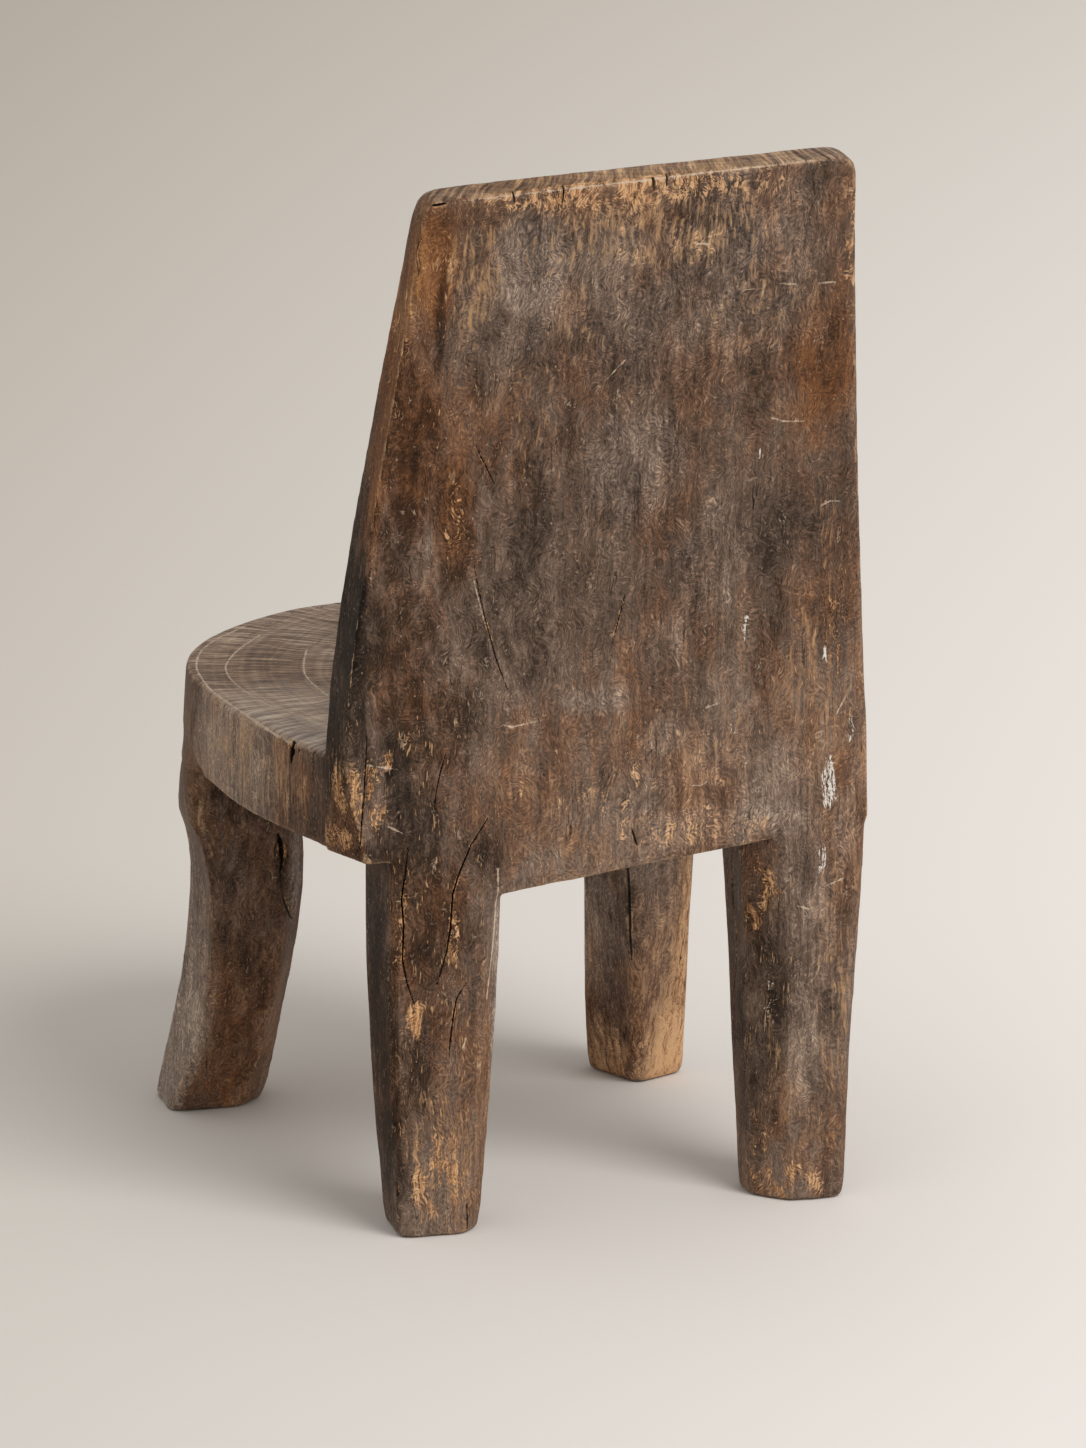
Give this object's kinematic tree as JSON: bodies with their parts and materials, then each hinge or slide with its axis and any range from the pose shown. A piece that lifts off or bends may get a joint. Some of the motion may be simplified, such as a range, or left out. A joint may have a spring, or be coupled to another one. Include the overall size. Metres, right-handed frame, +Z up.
{
  "type": "carved wooden chair",
  "caption": "Low hand-carved wooden chair with a thick round-fronted seat, a leaning tapered back slab, tapering rear legs and swept front legs.",
  "frame": {"origin": "on the floor under the middle of the chair's bounding box", "axes": "+Z up, -Y towards the front of the seat, +X towards the sitter's left"},
  "size_m": [0.4166, 0.5156, 0.7392],
  "materials": {
    "carved_wood": "hand-hewn hardwood, dark worn patina, satin where hands polished it"
  },
  "bodies": {
    "root": {"seat": "carved_wood", "backrest": "carved_wood", "rear_left_leg": "carved_wood", "rear_right_leg": "carved_wood", "front_left_leg": "carved_wood", "front_right_leg": "carved_wood"}
  },
  "joints": []
}
